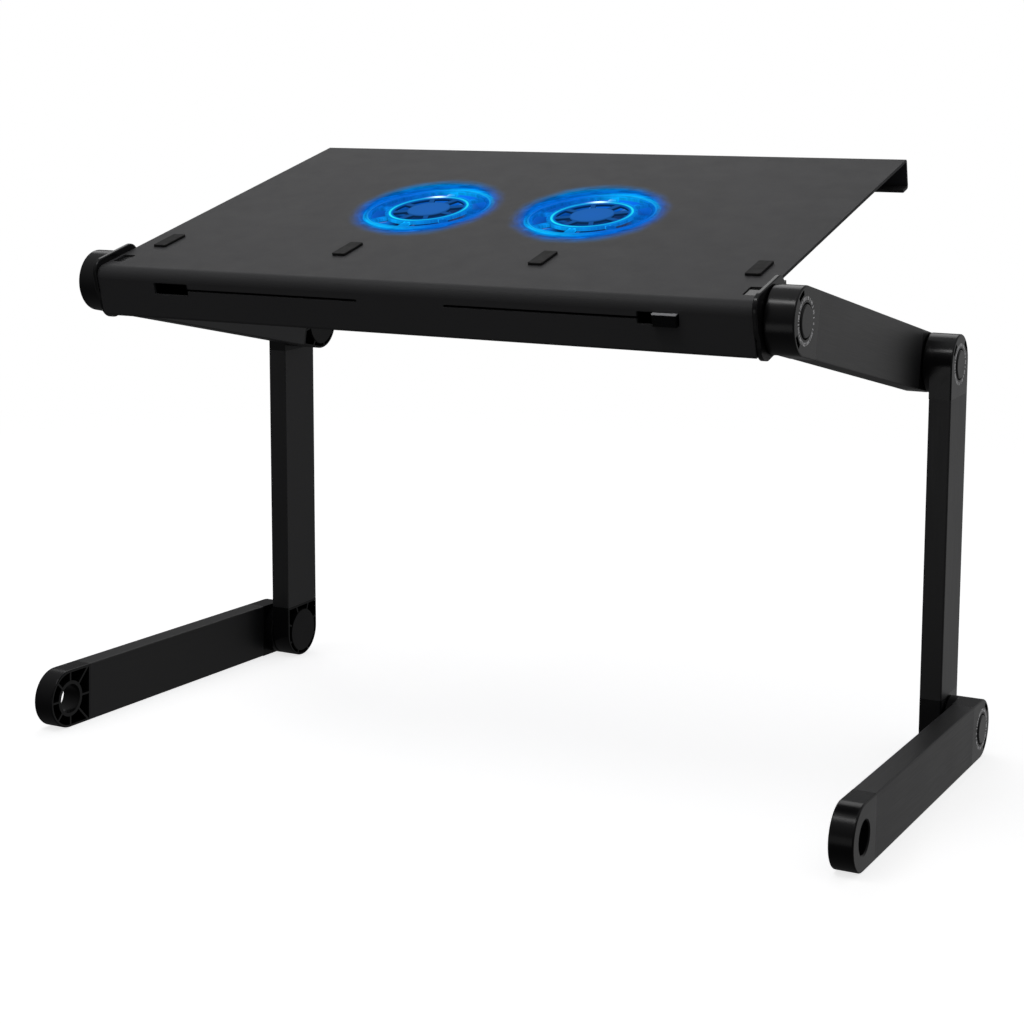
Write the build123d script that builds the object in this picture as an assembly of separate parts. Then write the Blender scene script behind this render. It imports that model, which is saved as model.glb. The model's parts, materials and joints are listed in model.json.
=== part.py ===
from build123d import *
import math
import os

# Folding laptop table with two cooling fans in its tabletop.
# Frame: +X to the user's right, +Y away from the user, +Z up, millimetres.
# The origin is on the ground, under the middle of the bounding box.

# ---- driving dimensions -------------------------------------------------
W = 450.0            # tabletop width
SHEET = 2.0          # tabletop sheet thickness
TILT = 16.0          # tabletop slope, rear edge up
V_TOP = 17.5         # top face above the hub axis, square to the sheet
V_BOT = -15.0        # underside of the front rail
U_FRONT = -25.0      # front face of the front rail
U_RAIL = 22.0        # back wall of the front rail
U_REAR = 268.6       # rear edge
LIP = 20.3           # drop of the rear lip
RETURN = 11.0        # forward return of the rear lip
ARMS = ("upper_arm", "lower_arm", "foot")
LENGTH = {"upper_arm": 256.0, "lower_arm": 246.0, "foot": 256.0}   # axis to axis
KNUCKLE = {"upper_arm": 18.0, "lower_arm": 20.0, "foot": 22.0}     # widths of the knuckles
R = 20.0             # half height of a leg section, radius of its round ends
T = 15.0             # thickness of a leg section
GAP = 0.5            # side gap between neighbouring pieces
FLANGE = 3.0         # end cap flange thickness
SEAM = 21.5          # joint axis to the tube's cut end
WALL = 1.5           # leg tube wall
B1, B2, B3 = -9.8, -87.8, 180.0    # directions of upper arm, lower arm, foot
Y_HUB = -126.062     # hub axis, so that the bounding box is centred
FAN_X, FAN_U = 60.3, 124.3         # fan centres
FAN = 80.0           # fan frame side
FAN_H = 15.0         # fan frame height
TRAVEL = 4.0         # lock button travel
R_BUTTON, R_HOLE = 9.7, 9.95
R_EYE = 10.0         # eye in the front end of each foot
H = R + LENGTH["upper_arm"] * math.sin(math.radians(-B1)) + LENGTH["lower_arm"] * math.sin(math.radians(-B2))

os.makedirs("parts", exist_ok=True)
X0 = W / 2
V_UNDER = V_TOP - SHEET


def prism(sk, x0, x1):
    return extrude(Plane.YZ.offset(x0) * sk, amount=x1 - x0)


def rect(y0, y1, z0, z1):
    return Pos((y0 + y1) / 2, (z0 + z1) / 2) * Rectangle(y1 - y0, z1 - z0)


def rrect(y0, y1, z0, z1, r):
    return Pos((y0 + y1) / 2, (z0 + z1) / 2) * RectangleRounded(y1 - y0, z1 - z0, r)


def cyl(r, x0, x1, y=0.0, z=0.0):
    return prism(Pos(y, z) * Circle(r), x0, x1)


def box(x0, x1, y0, y1, z0, z1):
    return Pos((x0 + x1) / 2, (y0 + y1) / 2, (z0 + z1) / 2) * Box(x1 - x0, y1 - y0, z1 - z0)


def up(sk, z0, z1):
    return extrude(Plane.XY.offset(z0) * sk, amount=z1 - z0)


def on_table(s):
    return Pos(0, Y_HUB, H) * Rot(TILT, 0, 0) * s


def try_fillet(s, edges, r):
    try:
        f = fillet(edges, r)
        if f.is_valid and f.volume > 0:
            return f
    except Exception:
        pass
    print("fillet skipped", r, len(edges))
    return s


def edges_at(s, test):
    return [e for e in s.edges() if test(e)]


def save(name, shape):
    solids = shape.solids() if not isinstance(shape, list) else shape
    out = solids[0] if len(solids) == 1 else Compound(solids)
    export_step(out, f"parts/{name}.step")
    allbox.append(out.bounding_box())


allbox = []


def flip(s):
    return mirror(s, about=Plane.YZ)


# ---- tabletop: one sheet, front rail box, rear lip with return ----------
top = rect(U_FRONT, U_REAR, V_UNDER, V_TOP)
rail = rect(U_FRONT, U_RAIL, V_BOT, V_TOP)
lip = rect(U_REAR - SHEET, U_REAR, V_TOP - LIP, V_TOP)
ret = rect(U_REAR - RETURN, U_REAR, V_TOP - LIP, V_TOP - LIP + SHEET)
prof = top + rail + lip + ret


def corner(sk, y, z):
    return [v for v in sk.vertices() if abs(v.X - y) < 0.01 and abs(v.Y - z) < 0.01]


prof = fillet(corner(prof, U_FRONT, V_TOP), 7.0)
prof = fillet(corner(prof, U_FRONT, V_BOT), 2.0)
prof = fillet(corner(prof, U_RAIL, V_BOT), 2.0)
prof = fillet(corner(prof, U_REAR, V_TOP), 2.6)
prof = fillet(corner(prof, U_REAR, V_TOP - LIP), 2.4)
cav = rect(U_FRONT + SHEET, U_RAIL - SHEET, V_BOT + SHEET, V_UNDER)
cav = fillet(corner(cav, U_FRONT + SHEET, V_UNDER), 5.0)
plate = prism(prof - cav, -X0, X0)

# vents: an inner and an outer ring of slots over each fan, and two shallow
# grooves that hold the light rings
R_DISC, R_IN, R_OUT1, R_OUT2 = 14.5, 24.0, 29.5, 38.8
RING_A, RING_B = (25.6, 27.0), (40.8, 42.0)


def slots(r1, r2, n, spoke, turn):
    sk = Circle(r2) - Circle(r1)
    for k in range(n):
        a = turn + 360.0 * k / n
        sk -= Rot(0, 0, a) * Pos((r1 + r2) / 2, 0) * Rectangle(r2 - r1 + 4, spoke)
    return sk


for sx in (-1, 1):
    at = Pos(sx * FAN_X, FAN_U)
    plate -= up(at * slots(R_DISC, R_IN, 8, 3.0, 22.5), V_UNDER - 1, V_TOP + 1)
    plate -= up(at * slots(R_OUT1, R_OUT2, 8, 4.5, 0.0), V_UNDER - 1, V_TOP + 1)
    for r1, r2 in (RING_A, RING_B):
        plate -= up(at * (Circle(r2) - Circle(r1)), V_TOP - 1.0, V_TOP + 1)
    # latch windows for the end caps' tongues
    plate -= up(Pos(sx * 218.2, -3.6) * RectangleRounded(9, 14, 1.5), V_UNDER - 1, V_TOP + 1)
    # front guide grooves with their wide ends
    gr = Plane.XZ.offset(-(U_FRONT - 2))
    win = extrude(gr * (Pos(sx * 168.0, 5.7) * RectangleRounded(26, 7.8, 0.8)), amount=-6)
    thin = extrude(gr * (Pos(sx * 93.0, 5.7) * SlotOverall(126, 1.6)), amount=-6)
    plate -= win
    plate -= thin
    # blind holes under the sheet for the fan screws
    for dx in (-35.75, 35.75):
        for dy in (-35.75, 35.75):
            plate -= up(Pos(sx * FAN_X + dx, FAN_U + dy) * Circle(1.5), V_UNDER - 1, V_UNDER + 1.2)
    # screw holes through the rail's floor for the end caps
    for u in (-14.0, 12.0):
        plate -= up(Pos(sx * 218.0, u) * Circle(1.5), V_BOT - 1, V_BOT + SHEET + 0.5)
save("tabletop_plate", on_table(plate))

# ---- anti-slip pads ------------------------------------------------------
pads = []
for px in (-208.0, -69.2, 69.2, 208.0):
    p = up(Pos(px, 33.2) * RectangleRounded(9.6, 24, 1.3), V_TOP, V_TOP + 1.6)
    p = try_fillet(p, p.edges().filter_by(Axis.Z, reverse=True).filter_by(
        lambda e: abs(e.center().Z - (V_TOP + 1.6)) < 1e-3), 0.5)
    pads.append(on_table(p).solids()[0])
save("anti_slip_pads", pads)

# ---- light rings ---------------------------------------------------------
for side, sx in (("left", -1), ("right", 1)):
    at = Pos(sx * FAN_X, FAN_U)
    rings = [on_table(up(at * (Circle(b - 0.05) - Circle(a + 0.05)), V_TOP - 1.0, V_TOP + 0.15)).solids()[0]
             for a, b in (RING_A, RING_B)]
    save(f"{side}_light_rings", rings)

# ---- fans ----------------------------------------------------------------
F_TOP, F_BOT = V_UNDER, V_UNDER - FAN_H


def fan_frame():
    f = up(RectangleRounded(FAN, FAN, 5.0), F_BOT, F_TOP)
    f -= up(Circle(38.5), F_BOT - 1, F_TOP + 1)
    # motor seat on four struts, with the bearing tube
    f += up(Circle(15.0), F_BOT, F_BOT + 2.0)
    for k in range(4):
        f += Rot(0, 0, 20 + 90 * k) * box(14.0, 39.2, -1.6, 1.6, F_BOT, F_BOT + 2.6)
    f += up(Circle(3.5), F_BOT + 1, F_BOT + 9.5)
    f -= up(Circle(1.55), F_BOT + 1.0, F_BOT + 10)
    for a in (-1, 1):
        for b in (-1, 1):
            f -= up(Pos(a * 35.75, b * 35.75) * Circle(2.15), F_BOT - 1, F_TOP + 1)
    return f


def fan_rotor():
    cup = up(Circle(14.5), F_BOT + 2.8, F_TOP - 1.8)
    cup = try_fillet(cup, [e for e in cup.edges() if abs(e.center().Z - (F_TOP - 1.8)) < 1e-3], 1.5)
    cup -= up(Circle(12.9), F_BOT + 2.0, F_TOP - 3.4)
    cup += up(Circle(1.5), F_BOT + 1.6, F_TOP - 3.0)
    ring = up(Circle(37.4) - Circle(14.0), F_BOT + 3.2, F_TOP - 2.2)
    for k in range(7):
        b = Rot(0, 0, 360.0 / 7 * k) * Pos(25.6, 0, (F_BOT + F_TOP) / 2 + 0.3) * Rot(0, 0, 12) * Rot(38, 0, 0) * Box(27, 19, 1.3)
        cup += b & ring
    return cup


def fan_motor():
    m = up(Circle(7.0) - Circle(3.6), F_BOT + 3.4, F_BOT + 8.6)
    for k in range(4):
        m += Rot(0, 0, 90 * k) * box(6.0, 9.6, -1.6, 1.6, F_BOT + 3.4, F_BOT + 8.6)
        arc = up((Circle(11.4) - Circle(9.4)) & (Rot(0, 0, 90 * k) * Pos(10, 0) * Rectangle(8, 11)), F_BOT + 3.4, F_BOT + 8.6)
        m += arc
    m += up(Circle(11.0) - Circle(3.6), F_BOT + 2.0, F_BOT + 3.4)
    return m


screws = []
for side, sx in (("left", -1), ("right", 1)):
    at = Pos(sx * FAN_X, FAN_U, 0)
    save(f"{side}_fan_frame", on_table(at * fan_frame()))
    save(f"{side}_fan_rotor", on_table(at * fan_rotor()))
    save(f"{side}_fan_motor", on_table(at * fan_motor()))
    for dx in (-35.75, 35.75):
        for dy in (-35.75, 35.75):
            s = up(Pos(sx * FAN_X + dx, FAN_U + dy) * Circle(1.5), F_BOT, V_UNDER + 1.2)
            h = up(Pos(sx * FAN_X + dx, FAN_U + dy) * Circle(3.0), F_BOT - 1.8, F_BOT)
            h = try_fillet(h, [e for e in h.edges() if abs(e.center().Z - (F_BOT - 1.8)) < 1e-3], 0.7)
            s = s + h
            s -= up(Pos(sx * FAN_X + dx, FAN_U + dy) * (Rectangle(3.4, 0.7) + Rectangle(0.7, 3.4)), F_BOT - 2.0, F_BOT - 0.8)
            screws.append(on_table(s).solids()[0])
save("fan_screws", screws)

# ---- junction box between the fans, with its power inlet ------------------
jb = up(Pos(0, FAN_U) * RectangleRounded(39.6, 54, 3.0), V_UNDER - 13.0, V_UNDER)
jb = try_fillet(jb, [e for e in jb.edges() if abs(e.center().Z - (V_UNDER - 13.0)) < 1e-3], 1.2)
jb -= up(Pos(0, FAN_U) * RectangleRounded(36.4, 50.8, 1.6), V_UNDER - 11.4, V_UNDER + 1)
jb -= box(-5.0, 5.0, FAN_U + 22, FAN_U + 30, V_UNDER - 10.0, V_UNDER - 5.0)
save("junction_box", on_table(jb))
inlet = box(-5.0, 5.0, FAN_U + 16.0, FAN_U + 27.6, V_UNDER - 10.0, V_UNDER - 5.0)
inlet -= box(-4.2, 4.2, FAN_U + 20.0, FAN_U + 30.0, V_UNDER - 8.9, V_UNDER - 6.1)
inlet += box(-3.0, 3.0, FAN_U + 19.0, FAN_U + 26.5, V_UNDER - 7.85, V_UNDER - 7.15)
save("power_inlet", on_table(inlet))

# ---- sliding laptop stop in the right-hand front groove --------------------
SX = 173.0
stop = box(SX - 7.5, SX + 7.5, U_FRONT - 3.2, U_FRONT - 0.3, 1.9, 9.5)
stop = try_fillet(stop, [e for e in stop.edges() if abs(e.center().Y - (U_FRONT - 3.2)) < 1e-3], 0.6)
stop += box(SX - 6.0, SX + 6.0, U_FRONT - 1.0, U_FRONT + 3.0, 5.15, 6.25)
stop += box(SX - 7.0, SX + 7.0, U_FRONT + SHEET + 0.3, U_FRONT + SHEET + 2.0, 2.2, 9.2)
save("laptop_stop", on_table(stop))


# ---- lock joint ------------------------------------------------------------
def toothed(r_root, r_tip, h_root, h_tip, n=24):
    pts = []
    for k in range(n):
        a = 360.0 / n * k
        for r, d in ((r_root, -h_root), (r_tip, -h_tip), (r_tip, h_tip), (r_root, h_root)):
            t = math.radians(a + d)
            pts.append((r * math.cos(t), r * math.sin(t)))
    return Polygon(*pts, align=None)


def sector(r1, r2, a, half):
    pts = [(0, 0)]
    for k in range(-4, 5):
        t = math.radians(a + half * k / 4)
        pts.append((2 * r2 * math.cos(t), 2 * r2 * math.sin(t)))
    return (Circle(r2) - Circle(r1)) & Polygon(*pts, align=None)


R_SOCKET, SOCKET = 11.15, 12.5
WEB0, WEB1, BOSS1 = 4.6, 6.6, 8.1


def knuckle(xo, k):
    """Round head at a segment's start, k wide; xo is the face that it turns on."""
    q0, q1 = xo + GAP, xo + GAP + k
    s = prism(Circle(R), q0, q1) + prism(rect(0, SEAM, -R, R), q1 - T, q1)
    s = try_fillet(s, edges_at(s, lambda e: abs(e.center().X - q1) < 1e-3 and e.center().Y < SEAM - 0.5), 1.0)
    s = try_fillet(s, edges_at(s, lambda e: abs(e.center().X - q0) < 1e-3), 0.8)
    plug = prism(rrect(SEAM, SEAM + 16, -R + WALL + 0.15, R - WALL - 0.15, 0.6), q1 - T + WALL + 0.15, q1 - WALL - 0.15)
    plug -= prism(rect(SEAM + 2, SEAM + 17, -R + 4, R - 4), q1 - T + 3.8, q1 - 3.8)
    s += plug
    s -= prism(toothed(10.15, 11.05, 5.7, 4.4), q0 - 1, xo + WEB0)
    s -= cyl(R_HOLE, xo + WEB1, q1 + 1)
    for i in range(3):
        s -= prism(sector(7.4, R_HOLE, 90 + 120 * i, 42), xo + WEB0 - 1, xo + WEB1 + 1)
    s += cyl(4.5, xo + WEB1 - 0.5, xo + BOSS1)
    s -= cyl(2.56, xo + WEB0 - 1, xo + BOSS1 + 1)
    for a in (130, 230):
        s -= prism(sector(15.2, 18.3, a, 14), q1 - 4.0, q1 + 1)
    return s


def button(xo, k):
    q1 = xo + GAP + k
    s = cyl(R_BUTTON, xo + 10.9, q1 + 0.8)
    s = try_fillet(s, edges_at(s, lambda e: abs(e.center().X - (q1 + 0.8)) < 1e-3), 1.2)
    s -= cyl(7.5, xo + 10.0, xo + 16.0)
    for i in range(3):
        s += prism(sector(7.7, 9.6, 90 + 120 * i, 35), xo + 4.25, xo + 11.5)
    return s


def lock_gear(xo):
    s = prism(toothed(9.9, 10.8, 4.2, 2.8), xo - 3.75, xo + 4.25)
    return s - cyl(3.2, xo - 5, xo + 6)


def spring(xo):
    x0, x1 = xo - SOCKET + 0.02, xo - 3.77
    wire, rm = 0.45, 7.0
    turns = 3.0
    h = x1 - x0 - 2 * wire
    path = Plane(origin=(x0 + wire, 0, 0), x_dir=(0, 1, 0), z_dir=(1, 0, 0)) * Helix(pitch=h / turns, height=h, radius=rm)
    prof_ = Plane(origin=path @ 0, z_dir=path % 0) * Circle(wire)
    return sweep(prof_, path=path, is_frenet=True)


def bolt(xo, inner):
    """Pivot screw: shaft from the socket floor out, flat head over the web."""
    s = cyl(2.5, inner, xo + BOSS1 + 0.5) + cyl(6.2, xo + BOSS1 + 0.3, xo + BOSS1 + 3.3)
    s = try_fillet(s, edges_at(s, lambda e: abs(e.center().X - (xo + BOSS1 + 3.3)) < 1e-3), 0.6)
    s -= prism(RegularPolygon(2.3, 6), xo + BOSS1 + 1.3, xo + BOSS1 + 4)
    return s


def seg_end(xo, eye=False):
    """Round end at a segment's far axis (the axis is local y = 0, the tube is at
    negative y); xo is its outer face. Ribs and pockets are open to the inside."""
    xi = xo - T
    s = prism(Circle(R), xi, xo) + prism(rect(-SEAM, 0, -R, R), xi, xo)
    s = try_fillet(s, edges_at(s, lambda e: abs(e.center().X - xo) < 1e-3 and e.center().Y > -SEAM + 0.5), 1.0)
    s = try_fillet(s, edges_at(s, lambda e: abs(e.center().X - xi) < 1e-3 and e.center().Y > -SEAM + 0.5), 0.8)
    plug = prism(rrect(-SEAM - 16, -SEAM, -R + WALL + 0.15, R - WALL - 0.15, 0.6), xi + WALL + 0.15, xo - WALL - 0.15)
    plug -= prism(rect(-SEAM - 17, -SEAM - 2, -R + 4, R - 4), xi + 3.8, xo - 3.8)
    s += plug
    rb = 12.4 if eye else 16.4
    rim = 1.8 if eye else 1.5
    pocket = (Circle(R - rim) + rect(-SEAM + 1.8, 0, -R + rim, R - rim)) - Circle(rb)
    for k in range(8):
        a = 45.0 * k + (0 if eye else 22.5)
        pocket -= Rot(0, 0, a) * Pos(20, 0) * Rectangle(30, 1.4)
    s -= prism(pocket, xi - 1, xo - 3.0)
    if eye:
        s -= cyl(R_EYE, xi - 1, xo + 1)
        try:
            s = chamfer(edges_at(s, lambda e: e.geom_type == GeomType.CIRCLE and abs(e.radius - R_EYE) < 1e-3 and abs(e.center().X - xo) < 1e-3), 0.8)
        except Exception:
            print("eye chamfer skipped")
    else:
        s += cyl(rb - 0.4, xi - 0.5, xi + 1)
        s -= cyl(R_SOCKET, xo - SOCKET, xo + 1)
        s -= cyl(2.5, xi + 0.3, xo)
    return s


def tube(xo, length):
    t = prism(rect(SEAM, length - SEAM, -R, R), xo - T, xo)
    t = try_fillet(t, [e for e in t.edges() if abs(e.length - (length - 2 * SEAM)) < 1e-3], 1.0)
    t -= prism(rect(SEAM - 1, length - SEAM + 1, -R + WALL, R - WALL), xo - T + WALL, xo - WALL)
    return t


def place(s, y, z, b):
    return Pos(0, y, z) * Rot(b, 0, 0) * s


# axis points in the side view
def step(y, z, b, length):
    return y + length * math.cos(math.radians(b)), z + length * math.sin(math.radians(b))


A1 = (Y_HUB, H)
A2 = step(*A1, B1, LENGTH["upper_arm"])
A3 = step(*A2, B2, LENGTH["lower_arm"])
A4 = step(*A3, B3, LENGTH["foot"])
XH = X0 + FLANGE                 # face of the end cap
XO1 = XH + GAP + KNUCKLE["upper_arm"]    # outer face of the upper arm
XO2 = XO1 + GAP + KNUCKLE["lower_arm"]   # outer face of the lower arm
XO3 = XO2 + GAP + KNUCKLE["foot"]        # outer face of the foot

# ---- end cap: flange, plug in the rail, socket boss, tongue -----------------
VF = V_TOP + 4.3                 # top of the flange
EAR_U, EAR_V, R_EAR = -23.5, -19.7, 11.0
cap_sk = Polygon((-26.2, 2.5), (EAR_U, -5.0), (EAR_U, EAR_V), (12.0, EAR_V), (12.0, VF), (-26.2, VF), align=None)
cap_sk = fillet(corner(cap_sk, -26.2, VF), 9.0)
cap_sk = fillet(corner(cap_sk, EAR_U, EAR_V), R_EAR)
cap_sk = fillet(corner(cap_sk, 12.0, EAR_V), 6.0)
cap_sk += rect(10.0, U_RAIL, V_BOT - 1.4, VF - 6.0)
cap_sk += Pos(12.0, VF - 8.0) * Circle(8.0)
cap_sk += Circle(R + 0.4)
cap = prism(cap_sk, X0, XH)
def rim(e, x):
    return abs(e.center().X - x) < 1e-3 and e.center().Z > V_TOP + 1.0


cap = try_fillet(cap, edges_at(cap, lambda e: rim(e, XH)), 0.8)
cap = try_fillet(cap, edges_at(cap, lambda e: rim(e, X0)), 0.8)
cap += cyl(15.6, XH - 0.5, XH + 0.0)
c0, c1, c2, c3 = U_FRONT + SHEET + 0.15, U_RAIL - SHEET - 0.15, V_BOT + SHEET + 0.15, V_UNDER - 0.15
plug_sk = fillet(corner(rect(c0, c1, c2, c3), c0, c3), 4.9)
plug = prism(plug_sk, X0 - 15.0, X0)
plug -= prism(rect(c0 + 2, c1 - 2, c2 + 2, c3 - 2) - Circle(12.75), X0 - 16.0, X0 - 0.01)
plug += prism(rect(-1, 1, c2, c3) - Circle(11.5), X0 - 10.0, X0)
plug += prism(rect(c0, c1, -1, 1) - Circle(11.5), X0 - 10.0, X0)
cap += plug
cap += up(Pos(218.2, -3.6) * RectangleRounded(8.4, 13.4, 1.2), c3 - 1.5, V_TOP - 0.7)
cap -= box(211.0, 224.0, 0.4, 1.8, V_TOP - 1.7, V_TOP + 1)
cap -= cyl(R_SOCKET, XH - SOCKET, XH + 1)
cap -= cyl(2.5, X0 - 20, XH)
for u in (-14.0, 12.0):
    cap -= up(Pos(218.0, u) * Circle(1.5), V_BOT - 3, V_BOT + 7)
cap_solids = sorted(cap.solids(), key=lambda s: -s.volume)
cap = cap_solids[0]
save("right_end_cap", on_table(cap))
save("left_end_cap", on_table(flip(cap)))

csc = []
for sx in (-1, 1):
    for u in (-14.0, 12.0):
        s = up(Pos(sx * 218.0, u) * Circle(1.5), V_BOT, V_BOT + 6.5)
        h = up(Pos(sx * 218.0, u) * Circle(2.8), V_BOT - 1.6, V_BOT)
        h = try_fillet(h, [e for e in h.edges() if abs(e.center().Z - (V_BOT - 1.6)) < 1e-3], 0.6)
        s = s + h
        s -= up(Pos(sx * 218.0, u) * (Rectangle(3.2, 0.7) + Rectangle(0.7, 3.2)), V_BOT - 2.0, V_BOT - 0.7)
        csc.append(on_table(s).solids()[0])
save("end_cap_screws", csc)

# hub pivot screws, carried by the end caps
hb = bolt(XH, XH - SOCKET - 1.5)
hb_t = on_table(hb)
save("right_hub_bolt", hb_t)
save("left_hub_bolt", flip(hb_t))
# the lock parts of the hub share the upper arm's direction
for name, xo, at, b in zip(ARMS, (XH, XO1, XO2), (A1, A2, A3), (B1, B2, B3)):
    width, length = KNUCKLE[name], LENGTH[name]
    outer = xo + GAP + width
    pieces = {
        f"{name}_knuckle": knuckle(xo, width),
        f"{name}_button": button(xo, width),
        f"{name}_lock_gear": lock_gear(xo),
        f"{name}_spring": spring(xo),
        f"{name}_tube": tube(outer, length),
        f"{name}_end": Pos(0, length, 0) * seg_end(outer, eye=(name == "foot")),
    }
    if name != "foot":
        pieces[f"{name}_bolt"] = Pos(0, length, 0) * bolt(outer, outer - T + 0.3)
    for n, s in pieces.items():
        p = place(s, at[0], at[1], b)
        save("right_" + n, p)
        save("left_" + n, flip(p))

lo = [min(getattr(b.min, c) for b in allbox) for c in "XYZ"]
hi = [max(getattr(b.max, c) for b in allbox) for c in "XYZ"]
print("nodes", len(allbox))
print("box", [round(v, 3) for v in lo], [round(v, 3) for v in hi], "centre y", round((lo[1] + hi[1]) / 2, 3))
print("axes", [tuple(round(v, 4) for v in a) for a in (A1, A2, A3, A4)], "faces", XH, XO1, XO2, XO3, "H", round(H, 4))
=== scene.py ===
import json
import math

import bpy
from mathutils import Matrix, Vector

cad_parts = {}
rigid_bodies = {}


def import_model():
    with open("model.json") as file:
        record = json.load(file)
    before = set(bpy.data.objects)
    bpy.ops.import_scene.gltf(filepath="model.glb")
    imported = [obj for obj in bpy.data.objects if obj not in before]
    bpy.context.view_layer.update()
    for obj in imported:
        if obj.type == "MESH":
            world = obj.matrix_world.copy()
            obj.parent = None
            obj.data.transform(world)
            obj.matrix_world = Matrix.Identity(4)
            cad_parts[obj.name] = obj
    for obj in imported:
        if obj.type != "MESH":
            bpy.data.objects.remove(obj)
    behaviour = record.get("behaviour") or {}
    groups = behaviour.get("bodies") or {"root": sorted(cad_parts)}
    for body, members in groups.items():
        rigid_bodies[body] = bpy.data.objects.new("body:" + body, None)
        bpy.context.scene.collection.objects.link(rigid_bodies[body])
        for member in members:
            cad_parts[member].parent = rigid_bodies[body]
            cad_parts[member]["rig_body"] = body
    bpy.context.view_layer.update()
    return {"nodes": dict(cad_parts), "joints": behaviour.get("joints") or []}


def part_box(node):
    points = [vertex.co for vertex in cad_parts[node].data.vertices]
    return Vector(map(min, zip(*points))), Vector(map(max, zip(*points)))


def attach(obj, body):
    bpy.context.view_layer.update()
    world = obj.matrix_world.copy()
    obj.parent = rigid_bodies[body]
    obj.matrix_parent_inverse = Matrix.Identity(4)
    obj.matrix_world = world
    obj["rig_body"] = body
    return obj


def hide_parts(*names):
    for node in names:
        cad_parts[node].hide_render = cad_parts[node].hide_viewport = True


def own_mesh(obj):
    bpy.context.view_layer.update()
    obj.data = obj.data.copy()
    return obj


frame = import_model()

NODES = frame["nodes"]
JOINT = {j["name"]: j for j in frame["joints"]}
scene = bpy.context.scene

# ---- places, all read from the frame ---------------------------------------
hub = JOINT["right_hub_turn"]["pos_m"]
HUB = Vector((0.0, hub[1], hub[2]))
N = Vector(JOINT["right_fan_spin"]["axis"]).normalized()      # square to the tabletop
U = Vector((0.0, N.z, -N.y))                                  # up the tabletop's slope
FANS = {s: Vector(JOINT[s + "_fan_spin"]["pos_m"]) for s in ("left", "right")}
V_TOP = 0.0175


def axis_of(a, b):
    p, q = Vector(JOINT[a]["pos_m"]), Vector(JOINT[b]["pos_m"])
    d = q - p
    d.x = 0
    return d.normalized()


DIRS = {
    "upper_arm": axis_of("right_hub_turn", "right_elbow_turn"),
    "lower_arm": axis_of("right_elbow_turn", "right_ankle_turn"),
    "foot": Vector((0.0, -1.0, 0.0)),
}
STARTS = {"upper_arm": "hub", "lower_arm": "elbow", "foot": "ankle"}
V_FAN = (FANS["right"] - HUB).dot(N)


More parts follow.
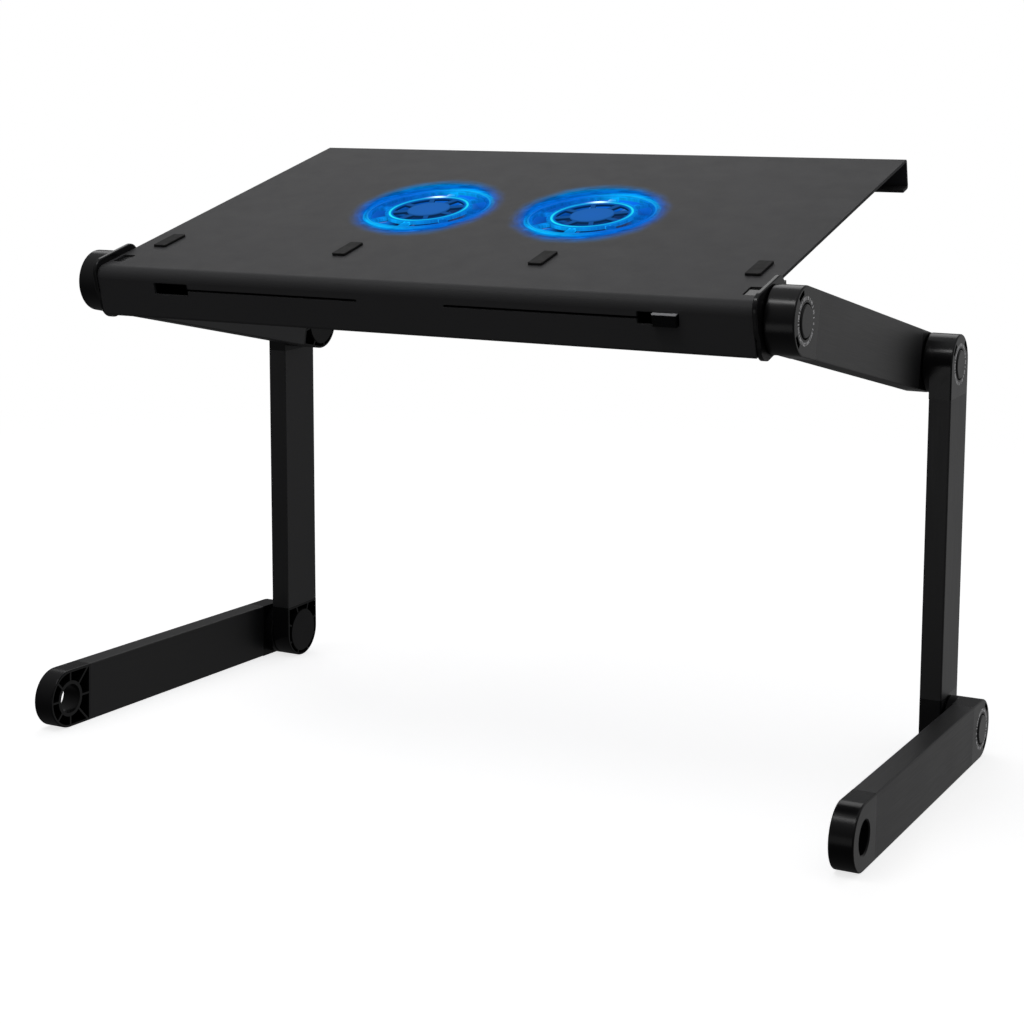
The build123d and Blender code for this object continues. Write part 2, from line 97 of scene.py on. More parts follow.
# ---- node helper --------------------------------------------------------------
class G:
    """One material's node tree, with short calls for its maths."""

    def __init__(self, name, **sockets):
        self.mat = bpy.data.materials.new(name)
        self.mat.use_nodes = True
        self.nt = self.mat.node_tree
        self.nt.nodes.clear()
        out = self.nt.nodes.new("ShaderNodeOutputMaterial")
        self.p = self.nt.nodes.new("ShaderNodeBsdfPrincipled")
        self.nt.links.new(self.p.outputs[0], out.inputs[0])
        self.co = self.nt.nodes.new("ShaderNodeTexCoord").outputs["Object"]
        for k, v in sockets.items():
            self.set(k.replace("_", " "), v)

    def set(self, name, v):
        self.put(self.p.inputs[name], v)

    def put(self, sock, v):
        if isinstance(v, bpy.types.NodeSocket):
            self.nt.links.new(v, sock)
        else:
            if sock.type == "RGBA" and len(v) == 3:
                v = (*v, 1.0)
            sock.default_value = v

    def m(self, op, a, b=None, c=None, clamp=False):
        n = self.nt.nodes.new("ShaderNodeMath")
        n.operation, n.use_clamp = op, clamp
        for i, x in enumerate((a, b, c)):
            if x is not None:
                self.put(n.inputs[i], x)
        return n.outputs[0]

    def vm(self, op, a, b=None, scale=None):
        n = self.nt.nodes.new("ShaderNodeVectorMath")
        n.operation = op
        self.put(n.inputs[0], a)
        if b is not None:
            self.put(n.inputs[1], b)
        if scale is not None:
            self.put(n.inputs["Scale"], scale)
        return n.outputs["Value" if op in ("DOT_PRODUCT", "LENGTH", "DISTANCE") else "Vector"]

    def xyz(self, x, y, z):
        n = self.nt.nodes.new("ShaderNodeCombineXYZ")
        for i, v in enumerate((x, y, z)):
            self.put(n.inputs[i], v)
        return n.outputs[0]

    def noise(self, scale, detail=2.0, rough=0.5, vec=None, distort=0.0):
        n = self.nt.nodes.new("ShaderNodeTexNoise")
        self.put(n.inputs["Vector"], self.co if vec is None else vec)
        n.inputs["Scale"].default_value = scale
        n.inputs["Detail"].default_value = detail
        n.inputs["Roughness"].default_value = rough
        n.inputs["Distortion"].default_value = distort
        return n.outputs["Fac"] if "Fac" in n.outputs else n.outputs[0]

    def voronoi(self, scale, vec=None, feature="F1"):
        n = self.nt.nodes.new("ShaderNodeTexVoronoi")
        n.feature = feature
        self.put(n.inputs["Vector"], self.co if vec is None else vec)
        n.inputs["Scale"].default_value = scale
        return n.outputs["Distance"]

    def ramp(self, fac, stops, interp="LINEAR"):
        n = self.nt.nodes.new("ShaderNodeValToRGB")
        self.put(n.inputs[0], fac)
        cr = n.color_ramp
        cr.interpolation = interp
        while len(cr.elements) < len(stops):
            cr.elements.new(0.5)
        for e, (pos, col) in zip(cr.elements, stops):
            e.position = pos
        for e, (pos, col) in zip(cr.elements, stops):
            e.color = (*col, 1.0) if len(col) == 3 else col
        return n.outputs[0]

    def step(self, v, lo, hi):
        n = self.nt.nodes.new("ShaderNodeMapRange")
        n.interpolation_type = "SMOOTHSTEP"
        self.put(n.inputs["Value"], v)
        n.inputs["From Min"].default_value = lo
        n.inputs["From Max"].default_value = hi
        return n.outputs[0]

    def span(self, v, lo, hi, a, b):
        n = self.nt.nodes.new("ShaderNodeMapRange")
        self.put(n.inputs["Value"], v)
        for k, x in (("From Min", lo), ("From Max", hi), ("To Min", a), ("To Max", b)):
            n.inputs[k].default_value = x
        return n.outputs[0]

    def mix(self, fac, a, b, mode="MIX"):
        n = self.nt.nodes.new("ShaderNodeMix")
        n.data_type, n.blend_type = "RGBA", mode
        self.put(n.inputs[0], fac)
        self.put(n.inputs[6], a)
        self.put(n.inputs[7], b)
        return n.outputs[2]

    def bump(self, height, distance, strength=1.0, normal=None):
        n = self.nt.nodes.new("ShaderNodeBump")
        n.inputs["Strength"].default_value = strength
        n.inputs["Distance"].default_value = distance
        self.put(n.inputs["Height"], height)
        if normal is not None:
            self.put(n.inputs["Normal"], normal)
        return n.outputs[0]


def lin(r, g, b):
    return tuple(((c / 255 + 0.055) / 1.055) ** 2.4 if c > 10 else c / 255 / 12.92 for c in (r, g, b))


def grey(base, k):
    return tuple(c * k for c in base)


# ---- materials ------------------------------------------------------------------
def fan_polar(g, centre):
    """Distance from a fan's axis and the direction round it, in the sheet's plane."""
    d = g.vm("SUBTRACT", g.co, tuple(centre))
    a = g.vm("DOT_PRODUCT", d, (1, 0, 0))
    b = g.vm("DOT_PRODUCT", d, tuple(U))
    r = g.m("SQRT", g.m("ADD", g.m("MULTIPLY", a, a), g.m("MULTIPLY", b, b)))
    return a, b, g.m("MAXIMUM", r, 1e-5)


def lobe(g, a, b, r, deg, power):
    """1 towards deg round the fan, falling to 0 at a right angle to it."""
    t = math.radians(deg)
    c = g.m("DIVIDE", g.m("ADD", g.m("MULTIPLY", a, math.cos(t)), g.m("MULTIPLY", b, math.sin(t))), r)
    return g.m("POWER", g.m("MAXIMUM", c, 0.0), power)


def band(g, r, mid, half, soft):
    d = g.m("ABSOLUTE", g.m("SUBTRACT", r, mid))
    return g.m("SUBTRACT", 1.0, g.step(d, half, half + soft))


def painted_glow_colour(g, a, b, r):
    """Painted light: the blue light that the LED rings throw on the sheet round a fan,
    painted into the sheet's emission, and how far it drowns the coating's own tone."""
    mm = g.m("MULTIPLY", r, 1000.0 / 60.0)
    base = g.ramp(mm, [
        (0.000, lin(36, 100, 184)),
        (0.225, lin(36, 99, 178)),
        (0.245, lin(26, 82, 150)),
        (0.375, lin(24, 80, 148)),
        (0.405, lin(10, 84, 172)),
        (0.425, lin(10, 140, 226)),
        (0.452, lin(10, 132, 222)),
        (0.480, lin(10, 126, 222)),
        (0.560, lin(8, 112, 210)),
        (0.660, lin(6, 102, 204)),
        (0.690, lin(6, 110, 214)),
        (0.740, lin(4, 102, 212)),
        (0.820, lin(2, 102, 206)),
        (0.900, lin(2, 110, 200)),
        (1.000, lin(2, 120, 186)),
    ])
    outer = g.step(r, 0.0275, 0.0300)
    # brighter fan of light up the slope and one towards the user, darker quarters between
    fore = g.m("ADD", lobe(g, a, b, r, 84, 9.0), g.m("MULTIPLY", lobe(g, a, b, r, 256, 8.0), 0.80))
    reach = g.m("SUBTRACT", 1.0, g.step(r, 0.0440, 0.0500))
    wide = g.m("MULTIPLY", g.m("MULTIPLY", fore, g.m("MULTIPLY", outer, reach)), 0.85, clamp=True)
    col = g.mix(wide, base, lin(6, 172, 250))
    dim = g.m("ADD", lobe(g, a, b, r, 138, 5.0), g.m("ADD", lobe(g, a, b, r, 2, 5.0), g.m("MULTIPLY", lobe(g, a, b, r, 318, 8.0), 0.7)))
    dim = g.m("MULTIPLY", g.m("MULTIPLY", dim, band(g, r, 0.0345, 0.0030, 0.0040)), 0.38, clamp=True)
    col = g.mix(dim, col, lin(2, 62, 150))
    arcs = g.m("ADD", lobe(g, a, b, r, 240, 4.0), g.m("MULTIPLY", lobe(g, a, b, r, 54, 4.0), 0.8))
    arcs = g.m("MULTIPLY", g.m("MULTIPLY", arcs, band(g, r, 0.0432, 0.0003, 0.0016)), 0.85, clamp=True)
    col = g.mix(arcs, col, lin(16, 186, 255))
    # broken light: streaks that turn with the angle, as through turning blades
    ang = g.m("ARCTAN2", b, a)
    streak = g.noise(1.0, 4.0, 0.65, vec=g.xyz(g.m("MULTIPLY", ang, 2.6), g.m("MULTIPLY", r, 330.0), 3.7), distort=0.6)
    glow_fleck = g.noise(1.0, 3.0, 0.6, vec=g.xyz(g.m("MULTIPLY", g.m("ADD", a, g.m("MULTIPLY", b, 0.6)), 260.0), g.m("MULTIPLY", b, 900.0), 1.3))
    ring_zone = g.m("MULTIPLY", g.step(r, 0.0265, 0.0290), g.m("SUBTRACT", 1.0, g.step(r, 0.043, 0.050)))
    k = g.m("ADD", g.m("MULTIPLY", g.m("SUBTRACT", streak, 0.5), 1.7), g.m("MULTIPLY", g.m("SUBTRACT", glow_fleck, 0.5), 0.9))
    k = g.m("MAXIMUM", g.m("ADD", 1.0, g.m("MULTIPLY", ring_zone, k)), 0.25)
    # painted light: glowing dots of the LED beads along the side towards the user
    bead = g.m("POWER", g.m("ADD", 0.5, g.m("MULTIPLY", 0.5, g.m("COSINE", g.m("MULTIPLY", ang, 58.0)))), 3.0)
    bead = g.m("MULTIPLY", g.m("MULTIPLY", bead, lobe(g, a, b, r, 286, 5.0)), band(g, r, 0.0306, 0.0003, 0.0009))
    col = g.vm("ADD", g.vm("SCALE", col, scale=k), g.vm("SCALE", lin(30, 210, 255), scale=g.m("MULTIPLY", bead, 0.7)))
    # painted highlight: a hot spot where one LED looks at the viewer, with a streak up the slope
    hot = g.m("MULTIPLY", lobe(g, a, b, r, 106, 70.0), band(g, r, 0.0302, 0.0013, 0.0034))
    col = g.vm("ADD", col, g.vm("SCALE", (0.80, 0.95, 1.0), scale=g.m("MULTIPLY", hot, 1.5)))
    # the spill is a slanted oval, a little off the fan's axis
    sa, sb = g.m("ADD", a, 0.0032), g.m("SUBTRACT", b, 0.00385)
    aa, bb = g.m("MULTIPLY", sa, 0.996), g.m("MULTIPLY", sb, 0.845)
    re = g.m("ADD", g.m("MULTIPLY", aa, aa), g.m("ADD", g.m("MULTIPLY", bb, bb), g.m("MULTIPLY", g.m("MULTIPLY", sa, sb), 0.27)))
    re = g.m("SQRT", re)
    edge = g.m("ADD", re, g.m("MULTIPLY", g.m("SUBTRACT", g.noise(60.0, 3.0, 0.6), 0.5), 0.006))
    fade = g.m("SUBTRACT", 1.0, g.step(edge, 0.0405, 0.0560))
    # light leaks unevenly past the outer ring
    leak = g.noise(1.0, 3.0, 0.6, vec=g.xyz(g.m("MULTIPLY", g.m("SINE", ang), 3.1), g.m("MULTIPLY", g.m("COSINE", ang), 3.1), g.m("MULTIPLY", r, 190.0)), distort=0.8)
    leak = g.m("ADD", 1.0, g.m("MULTIPLY", g.m("MULTIPLY", g.m("SUBTRACT", leak, 0.52), 2.2), g.step(r, 0.0440, 0.0475)))
    col = g.vm("SCALE", col, scale=g.m("MAXIMUM", leak, 0.3))
    return g.vm("SCALE", col, scale=g.m("POWER", fade, 1.25)), g.m("SUBTRACT", 1.0, g.step(edge, 0.0435, 0.0545))


def coated_sheet():
    g = G("powder_coat", Metallic=0.0, Specular_IOR_Level=0.28)
    fine = g.noise(2600.0, 3.0, 0.6)
    cell = g.voronoi(2100.0)
    blotch = g.noise(9.0, 4.0, 0.55)
    dust = g.noise(55.0, 5.0, 0.65)
    base = g.ramp(g.m("ADD", g.m("MULTIPLY", blotch, 0.4), g.m("MULTIPLY", fine, 0.6)), [
        (0.30, (0.066, 0.066, 0.0685)), (0.70, (0.076, 0.076, 0.0785))])
    g.set("Roughness", g.span(dust, 0.3, 0.7, 0.55, 0.60))
    h = g.m("ADD", g.m("MULTIPLY", cell, 0.6), g.m("MULTIPLY", fine, 0.4))
    g.set("Normal", g.bump(h, 0.00006, 0.55))
    v = g.vm("DOT_PRODUCT", g.vm("SUBTRACT", g.co, tuple(HUB)), tuple(N))
    top = g.step(v, V_TOP - 0.0011, V_TOP - 0.0002)
    skin = g.step(v, V_TOP - 0.0026, V_TOP - 0.0020)
    cols, lit, far = [], [], []
    for side in ("left", "right"):
        a, b, r = fan_polar(g, FANS[side])
        c, cover = painted_glow_colour(g, a, b, r)
        cols.append(c)
        lit.append(cover)
        far.append(g.step(r, 0.0270, 0.0290))
    both = g.vm("ADD", cols[0], cols[1])
    # painted light: the vents' walls get less of the painted glow than the face, most so in the inner ring
    walls = g.span(g.m("MINIMUM", far[0], far[1]), 0.0, 1.0, 0.24, 0.86)
    # under the painted glow the coating's own colour and sheen are taken to black, so the painted light alone shows
    # there
    cover = g.m("MULTIPLY", g.m("MAXIMUM", lit[0], lit[1]), skin)
    g.set("Base Color", g.mix(cover, base, (0.0, 0.0, 0.0)))
    g.set("Specular IOR Level", g.m("MULTIPLY", g.m("SUBTRACT", 1.0, cover), 0.28))
    # painted light: the blue spill goes in as emission on the top face and, dimmer, on the vents' walls
    g.set("Emission Color", g.vm("SCALE", both, scale=g.m("MULTIPLY", skin, g.m("MAXIMUM", top, walls))))
    g.set("Emission Strength", 1.0)
    return g.mat


def light_ring(side):
    g = G(side + "_light_guide", Base_Color=(0.0, 0.004, 0.01), Specular_IOR_Level=0.04)
    g.set("Roughness", g.span(g.noise(900.0, 3.0, 0.6), 0.3, 0.7, 0.72, 0.88))
    a, b, r = fan_polar(g, FANS[side])
    outer = g.step(r, 0.032, 0.034)
    ang = g.m("ARCTAN2", b, a)
    shimmer = g.noise(1.0, 3.0, 0.6, vec=g.xyz(g.m("MULTIPLY", ang, 6.0), outer, 0.5))
    i_k = g.m("ADD", 0.42, g.m("MULTIPLY", lobe(g, a, b, r, 222, 2.5), 0.55))
    i_k = g.m("ADD", i_k, g.m("MULTIPLY", lobe(g, a, b, r, 32, 3.0), 0.40))
    i_k = g.m("ADD", i_k, g.m("MULTIPLY", g.m("SUBTRACT", shimmer, 0.5), 0.35))
    o_k = g.m("ADD", 0.0, g.m("ADD", g.m("MULTIPLY", lobe(g, a, b, r, 242, 4.0), 0.62), g.m("MULTIPLY", lobe(g, a, b, r, 52, 4.0), 0.50)))
    o_k = g.m("ADD", o_k, g.m("MULTIPLY", g.m("SUBTRACT", shimmer, 0.5), 0.25))
    k = g.m("ADD", g.m("MULTIPLY", i_k, g.m("SUBTRACT", 1.0, outer)), g.m("MULTIPLY", o_k, outer))
    k = g.m("MAXIMUM", k, 0.0, clamp=True)
    col = g.mix(k, g.mix(outer, lin(8, 108, 205), lin(5, 98, 208)), g.mix(outer, lin(26, 232, 255), lin(12, 204, 255)))
    # painted highlight: a white hot spot on the ring where one LED looks at the viewer
    hot = g.m("MULTIPLY", lobe(g, a, b, r, 103, 70.0), g.m("SUBTRACT", 1.0, outer))
    col = g.vm("ADD", col, g.vm("SCALE", (0.85, 0.95, 1.0), scale=g.m("MULTIPLY", hot, 1.0)))
    g.set("Emission Color", col)
    g.set("Emission Strength", 1.0)
    return g.mat


def fan_plastic(name, side, blade=False):
    g = G(name, Specular_IOR_Level=0.2)
    n = g.noise(900.0, 3.0, 0.6)
    g.set("Base Color", g.ramp(n, [(0.3, (0.014, 0.015, 0.017)), (0.7, (0.022, 0.023, 0.026))]))
    g.set("Roughness", g.span(g.noise(70.0, 3.0), 0.3, 0.7, 0.34, 0.46))
    g.set("Normal", g.bump(n, 0.00003, 0.4))
    # painted light: the blue LED light on the fan's frame and blades goes in as emission, fading away from the sheet
    # and brighter in the same two fans as the spill on the sheet
    a, b, r = fan_polar(g, FANS[side])
    v = g.vm("DOT_PRODUCT", g.vm("SUBTRACT", g.co, tuple(HUB)), tuple(N))
    up = g.step(v, V_TOP - 0.0165, V_TOP - 0.0035)
    rr = g.m("MULTIPLY", r, 1000.0 / 60.0)
    col = g.ramp(rr, [
        (0.00, lin(16, 60, 120)), (0.24, lin(7, 50, 108)), (0.38, lin(6, 50, 108)), (0.46, lin(6, 104, 200)),
        (0.50, lin(6, 108, 206)), (0.60, lin(4, 88, 186)), (0.66, lin(4, 84, 184)), (0.71, lin(3, 70, 164)), (0.80, (0, 0.004, 0.02))])
    fore = g.m("ADD", lobe(g, a, b, r, 84, 8.0), g.m("MULTIPLY", lobe(g, a, b, r, 256, 6.0), 0.8))
    up = g.m("MULTIPLY", up, g.m("ADD", 1.0, g.m("MULTIPLY", g.m("MULTIPLY", fore, g.step(r, 0.0270, 0.0290)), 0.9)))
    g.set("Emission Color", g.vm("SCALE", col, scale=g.m("MULTIPLY", up, 1.0 if not blade else 0.85)))
    g.set("Emission Strength", 1.0)
    return g.mat


def gloss_plastic(name="gloss_moulding", base=(0.0075, 0.0075, 0.008), rough=(0.17, 0.26), spec=0.5):
    g = G(name, Specular_IOR_Level=spec)
    smudge = g.noise(38.0, 5.0, 0.62, distort=0.6)
    orange = g.noise(420.0, 2.0, 0.5)
    speck = g.noise(3200.0, 2.0, 0.7)
    g.set("Base Color", g.ramp(smudge, [(0.3, base), (0.75, grey(base, 1.5))]))
    r = g.m("ADD", g.span(smudge, 0.3, 0.7, rough[0], rough[1]), g.m("MULTIPLY", g.step(speck, 0.66, 0.76), 0.16))
    g.set("Roughness", r)
    g.set("Normal", g.bump(orange, 0.00004, 0.12))
    return g.mat


def tube_metal(name, along, spec=0.85, tone=1.0):
    g = G(name, Specular_IOR_Level=spec)
    across = Vector((0.0, -along.z, along.y))
    s = g.vm("DOT_PRODUCT", g.co, tuple(along))
    c = g.vm("DOT_PRODUCT", g.co, tuple(across))
    x = g.vm("DOT_PRODUCT", g.co, (1, 0, 0))
    grain = g.noise(1.0, 4.0, 0.65, vec=g.xyz(g.m("MULTIPLY", x, 2600.0), g.m("MULTIPLY", c, 2600.0), g.m("MULTIPLY", s, 26.0)))
    fine = g.noise(3000.0, 2.0, 0.6)
    blotch = g.noise(14.0, 4.0, 0.55)
    g.set("Base Color", g.ramp(g.m("ADD", g.m("MULTIPLY", grain, 0.5), g.m("MULTIPLY", blotch, 0.5)), [
        (0.3, grey((0.026, 0.026, 0.027), tone)), (0.7, grey((0.038, 0.038, 0.0395), tone))]))
    g.set("Roughness", g.m("ADD", g.span(grain, 0.3, 0.7, 0.33, 0.43), g.m("MULTIPLY", g.m("SUBTRACT", blotch, 0.5), 0.10)))
    g.set("Normal", g.bump(g.m("ADD", g.m("MULTIPLY", grain, 0.7), g.m("MULTIPLY", fine, 0.3)), 0.00003, 0.35))
    return g.mat


def rubber():
    g = G("pad_rubber", Specular_IOR_Level=0.35)
    n = g.noise(2400.0, 3.0, 0.7)
    dust = g.noise(140.0, 5.0, 0.7)
    g.set("Base Color", g.ramp(g.m("ADD", g.m("MULTIPLY", n, 0.4), g.m("MULTIPLY", dust, 0.6)), [
        (0.3, (0.010, 0.010, 0.0105)), (0.72, (0.019, 0.0185, 0.018))]))
    g.set("Roughness", g.span(dust, 0.3, 0.7, 0.62, 0.78))
    g.set("Normal", g.bump(n, 0.00008, 0.5))
    return g.mat


def zinc():
    g = G("zinc_steel", Metallic=1.0)
    n = g.noise(900.0, 4.0, 0.7)
    b = g.noise(160.0, 3.0, 0.6)
    g.set("Base Color", g.ramp(b, [(0.3, (0.44, 0.45, 0.46)), (0.7, (0.60, 0.61, 0.63))]))
    g.set("Roughness", g.span(n, 0.3, 0.7, 0.24, 0.44))
    g.set("Normal", g.bump(n, 0.00003, 0.35))
    return g.mat


def cast_alloy():
    g = G("gear_metal", Metallic=1.0)
    n = g.noise(1500.0, 4.0, 0.75)
    b = g.noise(220.0, 3.0, 0.6)
    g.set("Base Color", g.ramp(b, [(0.3, (0.36, 0.36, 0.37)), (0.7, (0.50, 0.50, 0.52))]))
    g.set("Roughness", g.span(n, 0.3, 0.7, 0.42, 0.62))
    g.set("Normal", g.bump(n, 0.00006, 0.6))
    return g.mat


def windings():
    g = G("windings", Metallic=0.85)
    v = g.vm("DOT_PRODUCT", g.vm("SUBTRACT", g.co, tuple(HUB)), tuple(N))
    wire = g.m("ABSOLUTE", g.m("SINE", g.m("MULTIPLY", v, math.pi / 0.00032)))
    n = g.noise(700.0, 3.0, 0.6)
    # painted shade: the copper's colour darkens into the grooves between the turns
    g.set("Base Color", g.mix(wire, (0.16, 0.055, 0.018), (0.62, 0.27, 0.10)))
    g.set("Roughness", g.span(n, 0.3, 0.7, 0.26, 0.42))
    g.set("Normal", g.bump(wire, 0.00012, 0.8))
    return g.mat


def stop_plastic():
    """Deep black block with a painted highlight: a pale band along its top edge."""
    g = G("stop_moulding", Specular_IOR_Level=0.22)
    v = g.vm("DOT_PRODUCT", g.vm("SUBTRACT", g.co, tuple(HUB)), tuple(N))
    n = g.noise(900.0, 3.0, 0.6)
    # painted highlight: pale base colour along the block's top edge
    painted_top_highlight = g.step(v, 0.0089, 0.0091)
    g.set("Base Color", g.mix(painted_top_highlight, g.ramp(n, [(0.3, (0.0014, 0.0014, 0.0022)), (0.7, (0.0024, 0.0024, 0.0040))]), (0.62, 0.62, 0.64)))
    g.set("Roughness", g.span(n, 0.3, 0.7, 0.22, 0.34))
    g.set("Normal", g.bump(n, 0.00002, 0.3))
    return g.mat


def print_ink_and_painted_glow():
    g = G("dial_print_and_painted_glow", Specular_IOR_Level=0.3)
    n = g.noise(2600.0, 3.0, 0.7)
    g.set("Base Color", g.ramp(n, [(0.3, (0.62, 0.62, 0.63)), (0.7, (0.80, 0.80, 0.81))]))
    g.set("Roughness", g.span(n, 0.3, 0.7, 0.45, 0.6))
    # painted light: the ink also glows faintly, so the marks read brighter than the lamps make them
    g.set("Emission Color", g.ramp(n, [(0.3, (0.10, 0.10, 0.102)), (0.7, (0.14, 0.14, 0.142))]))
    g.set("Emission Strength", 1.0)
    return g.mat


def shadow_gap():
    """Painted shade: a matt black ring round each button, standing for the dark depth of its clearance."""
    g = G("button_gap_painted_shade", Specular_IOR_Level=0.05)
    n = g.noise(1900.0, 3.0, 0.6)
    g.set("Base Color", g.ramp(n, [(0.3, (0.0010, 0.0010, 0.0012)), (0.7, (0.0024, 0.0024, 0.0028))]))
    g.set("Roughness", g.span(n, 0.3, 0.7, 0.7, 0.85))
    return g.mat


SHEET_M = coated_sheet()
GLOSS = gloss_plastic()
# painted shade: the feet get a darker, less glossy copy of the gloss moulding
FEET_PAINTED_SHADE = gloss_plastic("foot_moulding", (0.0055, 0.0055, 0.006), (0.19, 0.28), 0.36)
# painted light: the buttons get a lighter copy of the gloss moulding, so their domed faces read brighter
BUTTON_PAINTED_LIGHT = gloss_plastic("button_moulding", (0.024, 0.024, 0.025), (0.20, 0.28))
RUBBER, ZINC, CAST, WIND, INK_AND_PAINTED_GLOW, GAP_PAINTED_SHADE = rubber(), zinc(), cast_alloy(), windings(), print_ink_and_painted_glow(), shadow_gap()
# painted shade: the foot tubes get a darker copy of the tube metal (tone 0.72) with less sheen (0.55)
TUBES = {k: tube_metal("tube_" + k, d, *((0.55, 0.72) if k == "foot" else ())) for k, d in DIRS.items()}


def dress(node, mat):
    o = NODES[node]
    if not o.material_slots:
        o.data.materials.append(mat)
    for s in o.material_slots:
        s.material = mat


for n, o in NODES.items():
    side = n.split("_")[0]
    if n == "tabletop_plate":
        dress(n, SHEET_M)
    elif n == "anti_slip_pads":
        dress(n, RUBBER)
    elif n.endswith("light_rings"):
        dress(n, light_ring(side))
    elif n.endswith("fan_frame"):
        dress(n, fan_plastic(n + "_moulding", side))
    elif n.endswith("fan_rotor"):
        dress(n, fan_plastic(n + "_moulding", side, blade=True))
    elif n == "laptop_stop":
        dress(n, stop_plastic())
    elif n == "junction_box":
        dress(n, gloss_plastic("box_moulding", (0.012, 0.012, 0.013), (0.42, 0.52)))
    elif n.endswith("fan_motor"):
        dress(n, WIND)
    elif n.endswith(("screws", "bolt", "spring", "inlet")):
        dress(n, ZINC)
    elif n.endswith("lock_gear"):
        dress(n, CAST)
    elif n.endswith("button"):
        dress(n, BUTTON_PAINTED_LIGHT)
    elif n.endswith("tube"):
        dress(n, TUBES[n.split("_", 1)[1].rsplit("_", 1)[0]])
    elif n.endswith(("foot_knuckle", "foot_end")):
        dress(n, FEET_PAINTED_SHADE)
    else:
        dress(n, GLOSS)


# ---- printed dial round each button, and a painted-shade ring at its gap -----------
def text_mesh(body, size):
    cu = bpy.data.curves.new("t", "FONT")
    cu.body, cu.size, cu.align_x, cu.align_y = body, size, "CENTER", "CENTER"
    cu.resolution_u, cu.extrude, cu.offset = 3, 0.00002, 0.00009
    ob = bpy.data.objects.new("t", cu)
    scene.collection.objects.link(ob)
    bpy.context.view_layer.update()
    me = bpy.data.meshes.new_from_object(ob.evaluated_get(bpy.context.evaluated_depsgraph_get()))
    verts = [v.co.copy() for v in me.vertices]
    faces = [tuple(p.vertices) for p in me.polygons]
    bpy.data.objects.remove(ob)
    bpy.data.curves.remove(cu)
    bpy.data.meshes.remove(me)
    return verts, faces


def dial(side, seg):
    """Degree numerals every 30 degrees, with fine ticks between them, flat on the
    knuckle's outer face and 0.02 mm proud of it."""
    sx = 1 if side == "right" else -1
    c = JOINT[f"{side}_{STARTS[seg]}_turn"]["pos_m"]
    lo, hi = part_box(f"{side}_{seg}_knuckle")
    face = hi.x if sx > 0 else lo.x
    d = DIRS[seg]
    rest = math.atan2(d.z, d.y * sx)      # the segment's direction as seen from outside
    verts, faces = [], []

    def put(pts, fs):
        base = len(verts)
        for p, q, h in pts:
            verts.append((face + sx * h, c[1] + sx * p, c[2] + q))
        faces.extend(tuple(base + i for i in f) for f in fs)

    for k in range(24):
        t = rest + math.radians(15.0 * k)
        ct, st = math.cos(t), math.sin(t)
        if k % 2 == 0:
            vs, fs = text_mesh(str(15 * k), 0.0027)
            r = 0.01285
            put([(r * ct + v.x * st + v.y * ct, r * st - v.x * ct + v.y * st, v.z + 0.00002) for v in vs], fs)
        else:
            w, r0, r1 = 0.00034, 0.0118, 0.0139
            ps = []
            for h in (0.0, 0.00004):
                for rr, ww in ((r0, -w), (r1, -w), (r1, w), (r0, w)):
                    ps.append((rr * ct - ww * st, rr * st + ww * ct, h))
            put(ps, [(0, 1, 2, 3), (7, 6, 5, 4), (0, 4, 5, 1), (1, 5, 6, 2), (2, 6, 7, 3), (3, 7, 4, 0)])
    marks = len(faces)
    # painted shade: a matt black ring, 0.03 mm proud, round the button where its clearance gap is
    n, r0, r1 = 96, 0.00985, 0.01058
    ring = [(rr * math.cos(2 * math.pi * i / n), rr * math.sin(2 * math.pi * i / n), h)
            for h, rr in ((0.0, r0), (0.0, r1), (0.00003, r1), (0.00003, r0)) for i in range(n)]
    put(ring, [(a * n + i, a * n + (i + 1) % n, (a + 1) % 4 * n + (i + 1) % n, (a + 1) % 4 * n + i) for a in range(4) for i in range(n)])
    me = bpy.data.meshes.new(f"{side}_{seg}_dial")
    me.from_pydata(verts, [], faces)
    me.materials.append(INK_AND_PAINTED_GLOW)
    me.materials.append(GAP_PAINTED_SHADE)
    for p in me.polygons[marks:]:
        p.material_index = 1
    me.update()
    ob = bpy.data.objects.new(f"{side}_{seg}_dial", me)
    scene.collection.objects.link(ob)
    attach(ob, f"{side}_{seg}")


for side in ("left", "right"):
    for seg in STARTS:
        dial(side, seg)


# ---- button springs, each copied to an object of its own with its own mesh -----------
def spring(side, seg):
    name = f"{side}_{seg}_spring"
    node = NODES[name]
    ob = bpy.data.objects.new(f"{side}_{seg}_coil", node.data.copy())
    ob.matrix_world = node.matrix_world.copy()
    scene.collection.objects.link(ob)
    for i, s in enumerate(ob.material_slots):
        s.material = ZINC
    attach(ob, node["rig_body"])
    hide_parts(name)
    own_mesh(ob)


for side in ("left", "right"):
    for seg in STARTS:
        spring(side, seg)


# ---- floor, light and camera ---------------------------------------------------------
def floor():
    n, half = 48, 7.0
    verts = [((2 * i / n - 1) * half, (2 * j / n - 1) * half, 0.0) for j in range(n + 1) for i in range(n + 1)]
    faces = [(j * (n + 1) + i, j * (n + 1) + i + 1, (j + 1) * (n + 1) + i + 1, (j + 1) * (n + 1) + i) for j in range(n) for i in range(n)]
    me = bpy.data.meshes.new("floor")
    me.from_pydata(verts, [], faces)
    ob = bpy.data.objects.new("floor", me)
    scene.collection.objects.link(ob)
    g = G("floor", Roughness=0.9, Specular_IOR_Level=0.0)
    r = g.vm("LENGTH", g.co)
    far = g.step(r, 0.55, 1.8)
    g.set("Base Color", g.mix(far, (0.85, 0.85, 0.85), (0.0, 0.0, 0.0)))
    g.set("Emission Color", g.mix(far, (0.76, 0.76, 0.76), (1.0, 1.0, 1.0)))
    g.set("Emission Strength", 1.0)
    me.materials.append(g.mat)
    ob.visible_glossy = False
    ob.visible_diffuse = False
    ob.visible_transmission = False
    ob.visible_shadow = False


floor()

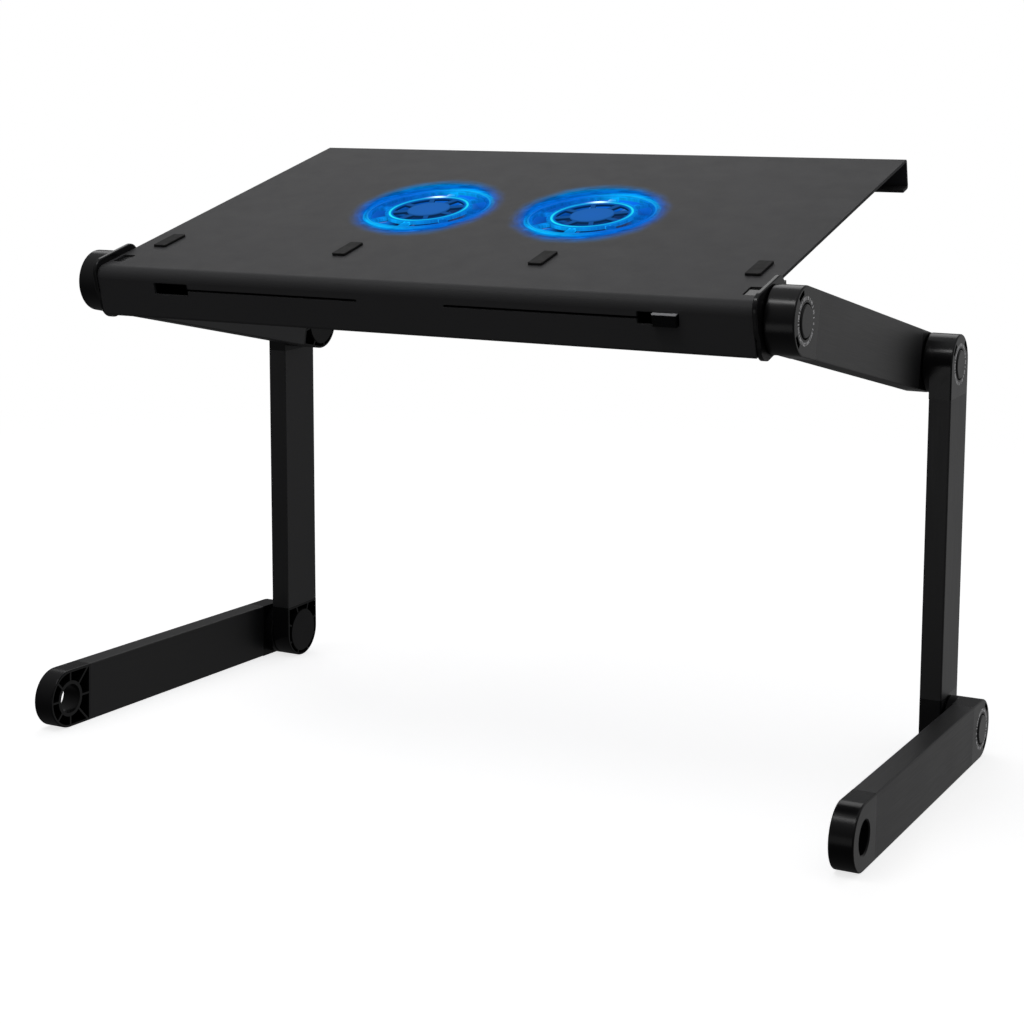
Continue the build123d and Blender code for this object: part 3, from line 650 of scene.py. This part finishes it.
world = bpy.data.worlds.new("studio")
scene.world = world
world.use_nodes = True
nt = world.node_tree
nt.nodes.clear()
wout = nt.nodes.new("ShaderNodeOutputWorld")
wmix = nt.nodes.new("ShaderNodeMixShader")
lp = nt.nodes.new("ShaderNodeLightPath")
bg_cam = nt.nodes.new("ShaderNodeBackground")
bg_cam.inputs[0].default_value = (1, 1, 1, 1)
bg = nt.nodes.new("ShaderNodeBackground")
nt.links.new(lp.outputs["Is Camera Ray"], wmix.inputs[0])
nt.links.new(bg.outputs[0], wmix.inputs[1])
nt.links.new(bg_cam.outputs[0], wmix.inputs[2])
nt.links.new(wmix.outputs[0], wout.inputs[0])


class W(G):
    def __init__(self):
        self.nt = nt
        self.co = nt.nodes.new("ShaderNodeTexCoord").outputs["Generated"]


w = W()
# soft studio surroundings: direction, tightness, brightness
SKY = [
    ((0.0, 0.0, 1.0), 2.0, 0.36),
    ((0.0, 1.0, 0.10), 4.0, 0.10),
    ((0.50, 0.86, 0.0), 10.0, 0.03),
    ((1.0, 0.2, 0.1), 3.0, 0.10),
    ((0.6, -0.8, 0.1), 3.0, 0.042),
    ((-0.5, -0.86, 0.25), 8.0, 0.08),
    ((-1.0, 0.0, 0.1), 3.0, 0.085),
    ((0.0, 0.0, -1.0), 2.0, 0.06),
]
k = 0.01
for sky_dir, tight, bright in SKY:
    c = w.m("MAXIMUM", w.vm("DOT_PRODUCT", w.co, tuple(Vector(sky_dir).normalized())), 0.0)
    k = w.m("ADD", k, w.m("MULTIPLY", w.m("POWER", c, tight), bright))
wcol = w.vm("SCALE", (1.0, 1.0, 1.015), scale=k)
nt.links.new(wcol, bg.inputs[0])
bg.inputs[1].default_value = 1.0
bg_cam.inputs[1].default_value = 1.0


def softbox(name, at, towards, sx, sy, power, spread=180.0):
    li = bpy.data.lights.new(name, "AREA")
    li.shape, li.size, li.size_y, li.energy = "RECTANGLE", sx, sy, power
    li.spread = math.radians(spread)
    ob = bpy.data.objects.new(name, li)
    scene.collection.objects.link(ob)
    d = (Vector(towards) - Vector(at)).normalized()
    ob.matrix_world = Matrix.Translation(Vector(at)) @ d.to_track_quat("-Z", "Y").to_matrix().to_4x4()
    ob.visible_camera = False
    return ob


softbox("box_back", (-0.70, 1.15, 1.35), (0.0, 0.0, 0.33), 1.5, 0.9, 3.8)
softbox("box_strip", (-0.25, -0.66, 1.45), (0.1, -0.13, 0.30), 1.0, 0.16, 2.4)
softbox("box_front", (-0.05, -0.95, -0.02), (0.25, 0.1, 0.12), 0.24, 0.34, 0.10)
softbox("box_right", (0.64, 0.60, 0.06), (0.44, -0.1, 0.06), 0.74, 1.2, 0.46)

# viewing position
CX, CY, CZ = 0.62241, -1.08875 + HUB.y, 0.40017
yaw, pitch, roll = (math.radians(v) for v in (27.17, -5.88, 1.18))
FOCAL, PX, PY = 2061.05, 512.0, 363.0
fw = Vector((-math.sin(yaw) * math.cos(pitch), math.cos(yaw) * math.cos(pitch), math.sin(pitch)))
rt = fw.cross(Vector((0, 0, 1))).normalized()
up = rt.cross(fw)
rt2 = rt * math.cos(roll) + up * math.sin(roll)
up2 = -rt * math.sin(roll) + up * math.cos(roll)
cam = bpy.data.cameras.new("camera")
cam.sensor_width = 36.0
cam.sensor_fit = "HORIZONTAL"
cam.lens = FOCAL * 36.0 / 1024.0
cam.shift_x = (512.0 - PX) / 1024.0
cam.shift_y = (PY - 512.0) / 1024.0
cam.clip_start, cam.clip_end = 0.01, 50.0
co = bpy.data.objects.new("camera", cam)
m = Matrix((rt2, up2, -fw)).transposed().to_4x4()
m.translation = Vector((CX, CY, CZ))
co.matrix_world = m
scene.collection.objects.link(co)
scene.camera = co
scene.view_settings.view_transform = "Standard"
